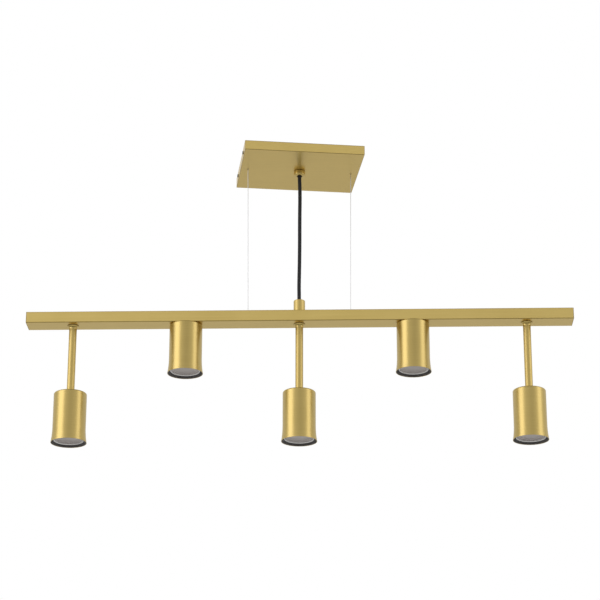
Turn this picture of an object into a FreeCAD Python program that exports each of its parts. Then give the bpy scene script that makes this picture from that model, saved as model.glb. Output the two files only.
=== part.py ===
import FreeCAD, Part
import math
import os
import re
import Sketcher

# Linear island pendant: a rectangular canopy, a cord and two thin wires, a tube bar and
# five lamp cups, of which the first, third and fifth hang lower on rods.
# Millimetres and degrees. X runs along the bar, Z up, the origin is in the ceiling plane
# above the middle of the bar. The canopy is turned a little about Z.

SIZES = {
    # bar
    "bar_length": 900,
    "bar_width": 38,
    "bar_height": 19,
    "bar_wall": 1.2,
    "bar_corner": 1.4,
    "bar_drop": 272,
    "cap_thickness": 1.5,
    "cap_insert": 9,
    # canopy and its bracket
    "canopy_length": 200,
    "canopy_width": 162,
    "canopy_height": 16,
    "canopy_wall": 1.2,
    "canopy_corner": 0.8,
    "canopy_angle": 8.1,
    "bracket_thickness": 2,
    "bracket_margin": 14,
    "bracket_gap": 0.5,
    "tab_width": 16,
    "tab_height": 11,
    "supply_hole_radius": 12,
    "ceiling_hole_radius": 2.5,
    "ceiling_hole_spacing": 88,
    "side_screw_inset": 33,
    "side_screw_radius": 1.5,
    "side_screw_length": 8,
    "side_head_radius": 2.8,
    "side_head_height": 1.4,
    # terminals
    "block_length": 28,
    "block_width": 16,
    "block_height": 9,
    "block_offset": 40,
    "block_pitch": 9,
    "block_way_radius": 1.75,
    "clamp_screw_radius": 1.5,
    "clamp_screw_length": 3,
    "earth_screw_radius": 2,
    "earth_head_radius": 3.8,
    "earth_head_height": 2.4,
    "earth_offset": 40,
    # wires and their grippers
    "wire_radius": 0.5,
    "wire_inset": 12.5,
    "wire_exit_radius": 1.5,
    "wire_lean": 2.75,
    "anchor_radius": 2.2,
    "anchor_length": 8,
    "anchor_hole_radius": 1.2,
    "stake_radius": 3,
    "barrel_radius": 4.5,
    "barrel_wall": 1.2,
    "barrel_length": 10.8,
    "barrel_crown": 2.5,
    "nozzle_radius": 2,
    "shoulder_height": 1,
    "release_travel": 1.5,
    # cord and its bushes
    "cord_radius": 3.05,
    "cord_tail_length": 9,
    "bush_radius": 9.5,
    "upper_bush_height": 9,
    "upper_bush_round": 1,
    "upper_bush_mouth": 4.8,
    "lower_bush_height": 22.5,
    "lower_bush_round": 2,
    "lower_bush_bore": 3.6,
    "lower_bush_seat": 8,
    "lower_bush_throat": 2.6,
    # threaded tube and nuts
    "thread_radius": 5,
    "nipple_bore": 3.5,
    "nipple_grip": 9.5,
    "thread_end": 1.5,
    "nut_flats": 14,
    "nut_height": 3,
    # drop rods and collars
    "lamp_end_margin": 76,
    "rod_radius": 6.35,
    "rod_bore": 4,
    "rod_length": 117,
    "rod_thread_depth": 10,
    "collar_radius": 9.6,
    "collar_edge": 0.6,
    "collar_height": 6,
    "collar_neck": 6.75,
    "collar_hollow": 8,
    # cups and bezels
    "cup_radius": 27,
    "cup_height": 84,
    "cup_wall": 1.5,
    "cup_top_round": 3,
    "mouth_radius": 29.2,
    "mouth_lip": 0.6,
    "flare_height": 26,
    "bezel_height": 8,
    "bezel_inset": 0.3,
    "bezel_lip": 0.6,
    # lampholders and lamps
    "holder_radius": 14,
    "holder_top": 15,
    "holder_height": 18,
    "holder_face": 3,
    "holder_chamber": 4,
    "holder_chamfer": 1,
    "holder_hub": 1.9,
    "strap_thickness": 1,
    "strap_width": 14,
    "strap_half_span": 11,
    "strap_foot": 7,
    "holder_screw_radius": 1.5,
    "holder_screw_length": 6,
    "holder_head_radius": 2.6,
    "holder_head_height": 1.6,
    "pin_spacing": 10,
    "pin_neck_radius": 1.5,
    "pin_head_radius": 2.5,
    "pin_head_height": 1.5,
    "bayonet_angle": 25,
    "lamp_base_radius": 13,
    "lamp_base_height": 13,
    "lamp_radius": 25,
    "lamp_rim_height": 7,
    "lamp_recess": 4.5,
    "reflector_bulge": 42,
    "lens_radius": 22.3,
    "lens_thickness": 2,
    "lens_recess": 1,
    # clearances
    "fit_gap": 0.1,
    "running_gap": 0.3,
    "cut_margin": 1,
}

doc = FreeCAD.newDocument("IslandPendant")
sheet = doc.addObject("Spreadsheet::Sheet", "Sizes")
for row, (alias, size) in enumerate(SIZES.items(), start=1):
    sheet.set("A%d" % row, alias)
    sheet.set("B%d" % row, str(size))
    sheet.setAlias("B%d" % row, alias)
doc.recompute()

Vector = FreeCAD.Vector
NODES = []


def on_sheet(text):
    """An expression in which each size is read from the sheet"""
    def cell(word):
        return "Sizes." + word.group() if word.group() in SIZES else word.group()
    return re.sub(r"[a-z][a-z0-9_]*", cell, str(text))


def number(text):
    return float(sheet.evalExpression(on_sheet(text)))


def bind(piece, name, text):
    piece.setExpression(name, on_sheet(text))


def node(piece, label):
    """Names a finished piece and puts it on the list of those that are written"""
    piece.Label = label
    NODES.append(piece)
    return piece


def place(piece, x="0", y="0", z="0", turn="0"):
    """Stands a piece at a point of the fixture, or of the canopy when a turn is given"""
    if turn != "0":
        piece.Placement = FreeCAD.Placement(Vector(), FreeCAD.Rotation(Vector(0, 0, 1), 1))
        bind(piece, "Placement.Rotation.Angle", turn)
    bind(piece, "Placement.Base.x", "(%s) * cos(%s) - (%s) * sin(%s)" % (x, turn, y, turn))
    bind(piece, "Placement.Base.y", "(%s) * sin(%s) + (%s) * cos(%s)" % (x, turn, y, turn))
    bind(piece, "Placement.Base.z", z)
    return piece


def new_body(name):
    return doc.addObject("PartDesign::Body", name)


def new_sketch(body, plane="XY_Plane", lift="0"):
    """A sketch on one of the body's own planes, lifted along that plane's normal"""
    sketch = body.newObject("Sketcher::SketchObject", body.Name + "_sketch")
    planes = body.Origin.OriginFeatures
    sketch.AttachmentSupport = [(next(item for item in planes if item.Role == plane), "")]
    sketch.MapMode = "FlatFace"
    bind(sketch, "AttachmentOffset.Base.z", lift)
    return sketch


def arc_between(start, end, radius):
    """The short arc from start to end, its centre to the right of the way for a radius above 0"""
    chord = end - start
    rise = math.sqrt(max(radius ** 2 - (chord.Length / 2) ** 2, 0))
    to_right = Vector(chord.y, -chord.x, 0).normalize()
    centre = (start + end) * 0.5 + to_right * math.copysign(rise, radius)
    first, last = (end, start) if radius > 0 else (start, end)
    angle_1 = math.atan2(first.y - centre.y, first.x - centre.x)
    angle_2 = math.atan2(last.y - centre.y, last.x - centre.x)
    if angle_2 < angle_1:
        angle_2 += 2 * math.pi
    circle = Part.Circle(centre, Vector(0, 0, 1), abs(radius))
    return Part.ArcOfCircle(circle, angle_1, angle_2)


def draw_outline(sketch, corners):
    """Draws a closed outline through corners (x, y), or (x, y, radius) before an arc"""
    points = [Vector(number(corner[0]), number(corner[1]), 0) for corner in corners]
    edges = []
    for index, corner in enumerate(corners):
        start = points[index]
        end = points[(index + 1) % len(points)]
        if len(corner) == 3:
            radius = number(corner[2])
            geometry = sketch.addGeometry(arc_between(start, end, radius))
            edges.append((geometry, 2, 1) if radius > 0 else (geometry, 1, 2))
        else:
            edges.append((sketch.addGeometry(Part.LineSegment(start, end)), 1, 2))
    for index, corner in enumerate(corners):
        geometry, first, last = edges[index]
        following, following_first, following_last = edges[(index + 1) % len(edges)]
        sketch.addConstraint(Sketcher.Constraint("Coincident", geometry, last, following, following_first))
    for index, corner in enumerate(corners):
        geometry, first, last = edges[index]
        point = points[index]
        set_size(sketch, Sketcher.Constraint("DistanceX", geometry, first, point.x), corner[0])
        set_size(sketch, Sketcher.Constraint("DistanceY", geometry, first, point.y), corner[1])
        if len(corner) == 3:
            radius = number(corner[2])
            length = corner[2] if radius > 0 else "-(%s)" % corner[2]
            set_size(sketch, Sketcher.Constraint("Radius", geometry, abs(radius)), length)


def set_size(sketch, constraint, text):
    index = sketch.addConstraint(constraint)
    bind(sketch, "Constraints[%d]" % index, text)


def draw_circle(sketch, x, y, radius):
    centre = Vector(number(x), number(y), 0)
    geometry = sketch.addGeometry(Part.Circle(centre, Vector(0, 0, 1), number(radius)))
    set_size(sketch, Sketcher.Constraint("DistanceX", geometry, 3, centre.x), x)
    set_size(sketch, Sketcher.Constraint("DistanceY", geometry, 3, centre.y), y)
    set_size(sketch, Sketcher.Constraint("Radius", geometry, number(radius)), radius)


def draw_box(sketch, x, y, length, width, corner=None):
    """A rectangle about (x, y), its corners rounded where a radius is given"""
    left, right = "(%s) - (%s) / 2" % (x, length), "(%s) + (%s) / 2" % (x, length)
    low, high = "(%s) - (%s) / 2" % (y, width), "(%s) + (%s) / 2" % (y, width)
    if corner is None:
        draw_outline(sketch, [(left, low), (left, high), (right, high), (right, low)])
        return
    draw_outline(sketch, [
        (left, low + " + " + corner), (left, high + " - " + corner, corner),
        (left + " + " + corner, high), (right + " - " + corner, high, corner),
        (right, high + " - " + corner), (right, low + " + " + corner, corner),
        (right + " - " + corner, low), (left + " + " + corner, low, corner),
    ])


def pad(body, sketch, length, downwards=False, middle=False):
    feature = body.newObject("PartDesign::Pad", body.Name + "_pad")
    feature.Profile = sketch
    feature.Reversed = downwards
    feature.SideType = "Symmetric" if middle else "One side"
    bind(feature, "Length", length)
    return feature


def pocket(body, sketch, length=None, upwards=False, middle=False):
    """Cuts a sketch out of a body, right through unless a length is given"""
    doc.recompute()
    before = body.Shape.Volume
    feature = body.newObject("PartDesign::Pocket", body.Name + "_pocket")
    feature.Profile = sketch
    feature.Reversed = upwards
    feature.SideType = "Symmetric" if middle else "One side"
    if length is None:
        feature.Type = "ThroughAll"
    else:
        bind(feature, "Length", length)
    doc.recompute()
    if body.Shape.Volume > before - 0.01:
        raise ValueError("a pocket cuts nothing out of " + body.Name)
    return feature


def turned(name, corners):
    """A body turned about its own Z from an outline of (radius, height) corners"""
    body = new_body(name)
    sketch = new_sketch(body, "XZ_Plane")
    draw_outline(sketch, corners)
    feature = body.newObject("PartDesign::Revolution", name + "_turned")
    feature.Profile = sketch
    feature.ReferenceAxis = (sketch, ["V_Axis"])
    feature.Angle = 360
    return body


def pin(name, radius, low, high):
    return turned(name, [("0", low), ("0", high), (radius, high), (radius, low)])


def screw(name, radius, length, head_radius, head_height):
    """A pan-headed screw: head above its own origin, shank below"""
    return turned(name, [
        ("0", "-(%s)" % length), ("0", head_height),
        ("(%s) * %s" % (head_radius, HEAD_TOP_SHARE), head_height),
        (head_radius, "(%s) * %s" % (head_height, HEAD_SIDE_SHARE)),
        (head_radius, "0"), (radius, "0"), (radius, "-(%s)" % length),
    ])


def nut(name):
    """A thin hexagon nut for the threaded tube, standing on its own origin"""
    body = new_body(name)
    sketch = new_sketch(body)
    corner = "nut_flats / 2 / cos(30)"
    draw_outline(sketch, [
        ("%s * cos(%d)" % (corner, angle), "%s * sin(%d)" % (corner, angle))
        for angle in range(330, -30, -60)
    ])
    draw_circle(sketch, "0", "0", "thread_radius + fit_gap")
    pad(body, sketch, "nut_height")
    return body


def nipple(name, low, high):
    """Threaded tube between two heights"""
    return turned(name, [
        ("nipple_bore", low), ("nipple_bore", high), ("thread_radius", high), ("thread_radius", low),
    ])


def group(members):
    """Identical small pieces as one object of separate solids"""
    compound = doc.addObject("Part::Compound", members[0].Name + "_group")
    compound.Links = members
    return compound


def round_edges(body, radius, chosen):
    """Rounds the edges of a body that a test on their middle and direction picks"""
    doc.recompute()
    solid = body.Tip
    names = []
    for index, edge in enumerate(solid.Shape.Edges, start=1):
        middle = edge.valueAt((edge.FirstParameter + edge.LastParameter) / 2)
        if edge.Curve.TypeId == "Part::GeomLine" and chosen(middle, edge.Curve.Direction):
            names.append("Edge%d" % index)
    feature = body.newObject("PartDesign::Fillet", body.Name + "_fillet")
    feature.Base = (solid, names)
    bind(feature, "Radius", radius)


def flare_radius(height, spread):
    """Radius of the arc that leaves an upright wall and spreads so far in that height"""
    return "((%s) ^ 2 + (%s) ^ 2) / (2 * (%s))" % (height, spread, spread)


# Shape of a pan head: width of its top and height of its side, as shares of the whole
HEAD_TOP_SHARE = 0.8
HEAD_SIDE_SHARE = 0.6

# Heights, places and radii that several pieces share
BAR_MIDDLE = "-(bar_drop + bar_height / 2)"
BAR_UNDERSIDE = "-(bar_drop + bar_height)"
CANOPY_UNDERSIDE = "-canopy_height"
TURN = "canopy_angle"
HOLE = "thread_radius + fit_gap"
WIRE_EXIT = "canopy_length / 2 - wire_inset"
WIRE_ANCHOR = WIRE_EXIT + " - wire_lean"
LAMP_PITCH = "(bar_length / 2 - lamp_end_margin) / 2"
SCREW_X = "strap_half_span - strap_thickness - holder_head_radius - running_gap"
FLARE = flare_radius("flare_height", "mouth_radius - cup_radius")
INNER_FLARE = flare_radius("flare_height", "mouth_radius - mouth_lip - cup_radius + cup_wall")


# Canopy

def ceiling_bracket():
    """Steel plate with four tabs bent down beside the ends of the cover"""
    body = new_body("ceiling_bracket")
    length = "canopy_length - 2 * (canopy_wall + bracket_gap)"
    width = "canopy_width - 2 * bracket_margin"
    plate = new_sketch(body)
    draw_box(plate, "0", "0", length, width)
    draw_circle(plate, "0", "0", "supply_hole_radius")
    for side in (-1, 1):
        draw_circle(plate, "%d * ceiling_hole_spacing / 2" % side, "0", "ceiling_hole_radius")
        draw_circle(plate, "%d * (%s)" % (side, WIRE_EXIT), "0", "stake_radius + fit_gap")
    draw_circle(plate, "0", "-earth_offset", "earth_screw_radius + fit_gap")
    pad(body, plate, "bracket_thickness", downwards=True)
    tabs = new_sketch(body)
    tab_x = "((%s) - bracket_thickness) / 2" % length
    tab_y = "canopy_width / 2 - side_screw_inset"
    for side in (-1, 1):
        for end in (-1, 1):
            draw_box(tabs, "%d * %s" % (side, tab_x), "%d * (%s)" % (end, tab_y),
                     "bracket_thickness", "tab_width")
    pad(body, tabs, "bracket_thickness + tab_height", downwards=True)
    holes = new_sketch(body, "YZ_Plane")
    for end in (-1, 1):
        draw_circle(holes, "%d * (%s)" % (end, tab_y), "-canopy_height / 2",
                    "side_screw_radius + fit_gap")
    pocket(body, holes, length, middle=True)
    node(place(body, turn=TURN), "ceiling_bracket")


def canopy_cover():
    """Folded tray, open at the ceiling, with holes for the bush, the wires and the screws"""
    body = new_body("canopy_cover")
    outside = new_sketch(body)
    draw_box(outside, "0", "0", "canopy_length", "canopy_width")
    pad(body, outside, "canopy_height", downwards=True)
    low = -number("canopy_height")
    half_length = number("canopy_length") / 2

    def outer_edge(middle, direction):
        return abs(middle.z - low) < 0.01 or abs(direction.z) > 0.9 and abs(middle.x) > half_length - 0.01

    round_edges(body, "canopy_corner", outer_edge)
    inside = new_sketch(body)
    draw_box(inside, "0", "0", "canopy_length - 2 * canopy_wall", "canopy_width - 2 * canopy_wall")
    pocket(body, inside, "canopy_height - canopy_wall")
    holes = new_sketch(body)
    draw_circle(holes, "0", "0", HOLE)
    for side in (-1, 1):
        draw_circle(holes, "%d * (%s)" % (side, WIRE_EXIT), "0", "wire_exit_radius")
    pocket(body, holes)
    screw_holes = new_sketch(body, "YZ_Plane")
    for end in (-1, 1):
        draw_circle(screw_holes, "%d * (canopy_width / 2 - side_screw_inset)" % end,
                    "-canopy_height / 2", "side_screw_radius + 2 * fit_gap")
    pocket(body, screw_holes, "canopy_length + 2 * cut_margin", middle=True)
    node(place(body, turn=TURN), "canopy_cover")


def canopy_side_screws():
    screws = []
    for side in (-1, 1):
        for end in (-1, 1):
            piece = screw("side_screw", "side_screw_radius", "side_screw_length",
                          "side_head_radius", "side_head_height")
            piece.Placement = FreeCAD.Placement(Vector(), FreeCAD.Rotation(Vector(0, 1, 0), 90 * side))
            bind(piece, "Placement.Base.x", "%d * canopy_length / 2" % side)
            bind(piece, "Placement.Base.y", "%d * (canopy_width / 2 - side_screw_inset)" % end)
            bind(piece, "Placement.Base.z", "-canopy_height / 2")
            screws.append(piece)
    node(place(group(screws), turn=TURN), "canopy_side_screws")


def canopy_cord_bush():
    """Bush under the canopy, its bore widening downwards so that the cord can swing"""
    top = "nut_height + thread_end + canopy_wall"
    bore = "cord_radius + running_gap"
    body = turned("canopy_cord_bush", [
        (bore, top), ("thread_radius", top), ("thread_radius", "0"), ("bush_radius", "0"),
        ("bush_radius", "-upper_bush_height + upper_bush_round", "upper_bush_round"),
        ("bush_radius - upper_bush_round", "-upper_bush_height"),
        ("upper_bush_mouth", "-upper_bush_height"), (bore, "0"),
    ])
    node(place(body, z=CANOPY_UNDERSIDE, turn=TURN), "canopy_cord_bush")
    locknut = place(nut("canopy_bush_nut"), z=CANOPY_UNDERSIDE + " + canopy_wall", turn=TURN)
    node(locknut, "canopy_bush_nut")


def terminals():
    """Three-way terminal block under the bracket, its clamp screws, and the earth screw"""
    body = new_body("terminal_block")
    block = new_sketch(body)
    draw_box(block, "0", "0", "block_length", "block_width")
    pad(body, block, "block_height", downwards=True)
    ways = new_sketch(body, "XZ_Plane")
    wells = new_sketch(body, lift="-block_height")
    for way in (-1, 0, 1):
        draw_circle(ways, "%d * block_pitch" % way, "-block_height / 2", "block_way_radius")
        draw_circle(wells, "%d * block_pitch" % way, "0", "clamp_screw_radius + fit_gap")
    pocket(body, ways, "block_width + 2 * cut_margin", middle=True)
    pocket(body, wells, "block_height / 2", upwards=True)
    node(place(body, y="block_offset", z="-bracket_thickness", turn=TURN), "terminal_block")
    screws = []
    for way in (-1, 0, 1):
        piece = pin("clamp_screw", "clamp_screw_radius", "-clamp_screw_length / 2", "clamp_screw_length / 2")
        place(piece, "%d * block_pitch" % way, "block_offset",
              "-bracket_thickness - block_height + clamp_screw_length / 2")
        screws.append(piece)
    node(place(group(screws), turn=TURN), "terminal_screws")
    earth = screw("earth_screw_piece", "earth_screw_radius", "bracket_thickness",
                  "earth_head_radius", "earth_head_height")
    earth.Placement = FreeCAD.Placement(Vector(), FreeCAD.Rotation(Vector(1, 0, 0), 180))
    bind(earth, "Placement.Base.y", "-earth_offset")
    bind(earth, "Placement.Base.z", "-bracket_thickness")
    node(place(group([earth]), turn=TURN), "earth_screw")


def wire_gripper(label, side):
    """Barrel staked in the bracket, with a release that is pushed up to free the wire"""
    x = "%d * (%s)" % (side, WIRE_EXIT)
    bore = "wire_radius + running_gap"
    end = "-(bracket_thickness + barrel_length)"
    chamber = "barrel_radius - barrel_wall"
    chamber_top = "-(bracket_thickness + barrel_crown)"
    ledge = end + " + barrel_wall"
    barrel = turned(label + "_gripper_barrel", [
        (bore, "0"), ("stake_radius", "0"), ("stake_radius", "-bracket_thickness"),
        ("barrel_radius", "-bracket_thickness"), ("barrel_radius", end),
        ("nozzle_radius + running_gap", end), ("nozzle_radius + running_gap", ledge),
        (chamber, ledge), (chamber, chamber_top), (bore, chamber_top),
    ])
    node(place(barrel, x, turn=TURN), label + "_gripper_barrel")
    seat = ledge + " + fit_gap"
    shoulder = chamber + " - running_gap"
    release = turned(label + "_gripper_release", [
        (bore, seat + " + shoulder_height"), (shoulder, seat + " + shoulder_height"),
        (shoulder, seat), ("nozzle_radius", seat),
        ("nozzle_radius", end + " - release_travel"), (bore, end + " - release_travel"),
    ])
    node(place(release, x, turn=TURN), label + "_gripper_release")


def wire_ends():
    """What each gripper holds of its wire, above the underside of the canopy"""
    ends = []
    for side in (-1, 1):
        piece = pin("wire_end", "wire_radius", CANOPY_UNDERSIDE, "-bracket_thickness / 2")
        ends.append(place(piece, "%d * (%s)" % (side, WIRE_EXIT)))
    node(place(group(ends), turn=TURN), "wire_ends")
    tail = pin("cord_tail", "cord_radius", CANOPY_UNDERSIDE, CANOPY_UNDERSIDE + " + cord_tail_length")
    node(tail, "cord_tail")


# Suspension

def cord_tube(points, radius):
    """A round tube of straight runs joined by tangent arcs"""
    path = []
    start = points[0]
    for before, corner, after in zip(points, points[1:], points[2:]):
        way_in = corner - before
        way_out = after - corner
        turn = way_in.getAngle(way_out)
        reach = 0.45 * min(way_in.Length, way_out.Length)
        bend = reach / math.tan(turn / 2)
        way_in.normalize()
        way_out.normalize()
        towards_centre = (way_out - way_in).normalize()
        arc_start = corner - way_in * reach
        arc_end = corner + way_out * reach
        arc_middle = corner + towards_centre * (bend / math.cos(turn / 2) - bend)
        path.append(Part.LineSegment(start, arc_start).toShape())
        path.append(Part.Arc(arc_start, arc_middle, arc_end).toShape())
        start = arc_end
        print("cord bend radius %.0f mm" % bend)
    path.append(Part.LineSegment(start, points[-1]).toShape())
    spine = Part.Wire(path)
    section = Part.Wire(Part.Circle(points[0], points[1] - points[0], radius).toShape())
    tube = spine.makePipeShell([section], True, True)
    expected = math.pi * radius ** 2 * spine.Length
    print("cord length %.1f mm, volume off by %.4f" % (spine.Length, tube.Volume / expected - 1))
    return tube


def power_cord():
    """Round cord from the underside of the canopy to its seat in the bush on the bar"""
    points = [
        Vector(0, 0, -16), Vector(0, 0, -30), Vector(1, 0.3, -58), Vector(0.4, 0.5, -104),
        Vector(0.5, 0.1, -150), Vector(0.1, -0.3, -190), Vector(-0.6, 0, -222),
        Vector(-0.3, 0, -243), Vector(-0.3, 0, -257.5),
    ]
    cord = doc.addObject("Part::Feature", "power_cord")
    cord.Shape = cord_tube(points, number("cord_radius"))
    node(cord, "power_cord")


def suspension_wire(label, side):
    """Taut steel wire from its hole in the canopy to the crimp under the top of the bar"""
    turn = math.radians(number("canopy_angle"))
    reach = side * number(WIRE_EXIT)
    top = Vector(reach * math.cos(turn), reach * math.sin(turn), number(CANOPY_UNDERSIDE))
    bottom = Vector(side * number(WIRE_ANCHOR), 0, number("-(bar_drop + bar_wall)"))
    section = Part.Face(Part.Wire(Part.Circle(top, Vector(0, 0, 1), number("wire_radius")).toShape()))
    wire = doc.addObject("Part::Feature", label)
    wire.Shape = section.extrude(bottom - top)
    node(wire, label)


# Bar

def bar_tube():
    """Rectangular tube with holes for the bush and wires on top and the rods below"""
    body = new_body("bar_tube")
    section = new_sketch(body, "YZ_Plane")
    draw_box(section, "0", "0", "bar_width", "bar_height", "bar_corner")
    draw_box(section, "0", "0", "bar_width - 2 * bar_wall", "bar_height - 2 * bar_wall")
    pad(body, section, "bar_length - 2 * cap_thickness", middle=True)
    top_holes = new_sketch(body)
    draw_circle(top_holes, "0", "0", HOLE)
    for side in (-1, 1):
        draw_circle(top_holes, "%d * (%s)" % (side, WIRE_ANCHOR), "0", "anchor_hole_radius")
    pocket(body, top_holes, upwards=True)
    lower_holes = new_sketch(body)
    for step in (-2, -1, 0, 1, 2):
        draw_circle(lower_holes, "%d * (%s)" % (step, LAMP_PITCH), "0", HOLE)
    pocket(body, lower_holes)
    node(place(body, z=BAR_MIDDLE), "bar_tube")


def end_cap(label, side):
    body = new_body(label)
    flange = new_sketch(body, "YZ_Plane")
    draw_box(flange, "0", "0", "bar_width", "bar_height", "bar_corner")
    pad(body, flange, "cap_thickness", downwards=side < 0)
    insert = new_sketch(body, "YZ_Plane")
    gap = "2 * (bar_wall + fit_gap)"
    draw_box(insert, "0", "0", "bar_width - " + gap, "bar_height - " + gap)
    pad(body, insert, "cap_insert", downwards=side > 0)
    place(body, "%d * (bar_length / 2 - cap_thickness)" % side, z=BAR_MIDDLE)
    node(body, label)


def bar_cord_bush():
    """Tall bush on the bar, with a seat for the end of the cord's sheath"""
    low = "-(bar_wall + nut_height + thread_end)"
    body = turned("bar_cord_bush", [
        ("lower_bush_bore", "lower_bush_height"),
        ("bush_radius - lower_bush_round", "lower_bush_height", "lower_bush_round"),
        ("bush_radius", "lower_bush_height - lower_bush_round"), ("bush_radius", "0"),
        ("thread_radius", "0"), ("thread_radius", low), ("lower_bush_throat", low),
        ("lower_bush_throat", "lower_bush_height - lower_bush_seat"),
        ("lower_bush_bore", "lower_bush_height - lower_bush_seat"),
    ])
    node(place(body, z="-bar_drop"), "bar_cord_bush")


def wire_anchors():
    """Crimps on the wires, under the top wall of the bar"""
    crimps = []
    for side in (-1, 1):
        piece = pin("wire_anchor", "anchor_radius", "-anchor_length", "0")
        crimps.append(place(piece, "%d * (%s)" % (side, WIRE_ANCHOR), z="-(bar_drop + bar_wall)"))
    node(group(crimps), "wire_anchors")


def drop_rod(label, x):
    """Tube with a threaded socket at each end"""
    socket_end = "-rod_length + rod_thread_depth"
    body = turned(label, [
        (HOLE, "0"), ("rod_radius", "0"), ("rod_radius", "-rod_length"), (HOLE, "-rod_length"),
        (HOLE, socket_end), ("rod_bore", socket_end),
        ("rod_bore", "-rod_thread_depth"), (HOLE, "-rod_thread_depth"),
    ])
    node(place(body, x, z=BAR_UNDERSIDE), label)


def rod_collar(label, x):
    """Bell-shaped collar that hides the joint of rod and bar"""
    bore = "rod_radius + fit_gap"
    body = turned(label, [
        (bore, "0"), ("collar_radius", "0"), ("collar_radius", "-collar_edge", "-collar_hollow"),
        ("collar_neck", "-collar_height"), (bore, "-collar_height"),
    ])
    node(place(body, x, z=BAR_UNDERSIDE), label)


def threads_and_nuts(lamps):
    """Threaded tubes and thin nuts that hold the rods, the cups and the bush to the bar"""
    above_bar = BAR_UNDERSIDE + " + bar_wall + nut_height + thread_end"
    nipples = []
    nuts = [place(nut("bush_nut"), z="-(bar_drop + bar_wall + nut_height)")]
    for x, top, hangs in lamps:
        under_strap = top + " - cup_wall - strap_thickness - nut_height"
        nuts.append(place(nut("bar_nut"), x, z=BAR_UNDERSIDE + " + bar_wall"))
        nuts.append(place(nut("cup_nut"), x, z=under_strap))
        cup_end = under_strap + " - thread_end"
        if hangs:
            nipples.append(place(nipple("rod_nipple", BAR_UNDERSIDE + " - nipple_grip", above_bar), x))
            nipples.append(place(nipple("cup_nipple", cup_end, top + " + nipple_grip"), x))
        else:
            nipples.append(place(nipple("cup_nipple", cup_end, above_bar), x))
    node(group(nipples), "threaded_nipples")
    node(group(nuts), "locknuts")


# Cups

def lamp_cup(label, x, top):
    """Cup with a rounded top edge and a mouth that flares ever faster"""
    flare_start = "-cup_height + flare_height"
    inner = "cup_radius - cup_wall"
    inner_mouth = "mouth_radius - mouth_lip"
    inner_round = "cup_top_round - cup_wall"
    body = turned(label, [
        (HOLE, "0"), ("cup_radius - cup_top_round", "0", "cup_top_round"),
        ("cup_radius", "-cup_top_round"), ("cup_radius", flare_start, "-(%s)" % FLARE),
        ("mouth_radius", "-cup_height"), (inner_mouth, "-cup_height", INNER_FLARE),
        (inner, flare_start), (inner, "-cup_top_round", "-(%s)" % inner_round),
        ("cup_radius - cup_top_round", "-cup_wall"), (HOLE, "-cup_wall"),
    ])
    node(place(body, x, z=top), label)


def inner_wall(depth):
    """Radius of the cup's inner wall so far below the start of its flare"""
    return ("(cup_radius - cup_wall + (%s) - sqrt((%s) ^ 2 - (%s) ^ 2))"
            % (INNER_FLARE, INNER_FLARE, depth))


def lamp_bezel(label, x, top):
    """Black ring in the mouth, a fit gap inside the flared wall"""
    high = "-cup_height + bezel_inset + bezel_height"
    low = "-cup_height + bezel_inset"
    outer_high = inner_wall("flare_height - bezel_inset - bezel_height") + " - fit_gap"
    outer_low = inner_wall("flare_height - bezel_inset") + " - fit_gap"
    body = turned(label, [
        ("lamp_radius + running_gap", high), (outer_high, high, "-(%s)" % INNER_FLARE),
        (outer_low, low), (outer_low + " - bezel_lip", low),
    ])
    node(place(body, x, z=top), label)


def lampholder(label, x, top):
    """Ceramic holder: two keyhole slots open into a chamber where the pin heads turn"""
    body = new_body(label)
    section = new_sketch(body, "XZ_Plane")
    draw_outline(section, [
        ("0", "0"), ("0", "holder_height"), ("holder_radius - holder_chamfer", "holder_height"),
        ("holder_radius", "holder_height - holder_chamfer"), ("holder_radius", "0"),
    ])
    chamber_radius = "pin_spacing / 2 + pin_head_radius + 2 * running_gap"
    draw_outline(section, [
        ("holder_hub", "holder_face"), ("holder_hub", "holder_face + holder_chamber"),
        (chamber_radius, "holder_face + holder_chamber"), (chamber_radius, "holder_face"),
    ])
    feature = body.newObject("PartDesign::Revolution", label + "_turned")
    feature.Profile = section
    feature.ReferenceAxis = (section, ["V_Axis"])
    feature.Angle = 360
    middle = "pin_spacing / 2"
    half = "(pin_neck_radius + running_gap)"
    slot = new_sketch(body)
    draw_outline(slot, [
        ("%s - %s" % (middle, half), "0", half), (middle, half, half),
        ("%s + %s" % (middle, half), "0", "%s + %s" % (middle, half)),
        ("(%s + %s) * cos(bayonet_angle)" % (middle, half), "-(%s + %s) * sin(bayonet_angle)" % (middle, half)),
        ("(%s - %s) * cos(bayonet_angle)" % (middle, half),
         "-(%s - %s) * sin(bayonet_angle)" % (middle, half), "-(%s - %s)" % (middle, half)),
    ])
    slot_cut = pocket(body, slot, "holder_face", upwards=True)
    entry = new_sketch(body)
    draw_circle(entry, middle + " * cos(bayonet_angle)", "-(%s) * sin(bayonet_angle)" % middle,
                "pin_head_radius + running_gap")
    entry_cut = pocket(body, entry, "holder_face", upwards=True)
    pair = body.newObject("PartDesign::PolarPattern", label + "_pair")
    pair.Originals = [slot_cut, entry_cut]
    pair.Axis = (section, ["V_Axis"])
    pair.Angle = 360
    pair.Occurrences = 2
    body.Tip = pair
    screw_holes = new_sketch(body, lift="holder_height")
    for side in (-1, 1):
        draw_circle(screw_holes, "%d * (%s)" % (side, SCREW_X), "0", "holder_screw_radius + fit_gap")
    pocket(body, screw_holes, "holder_screw_length")
    node(place(body, x, z=top + " - holder_top - holder_height"), label)


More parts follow.
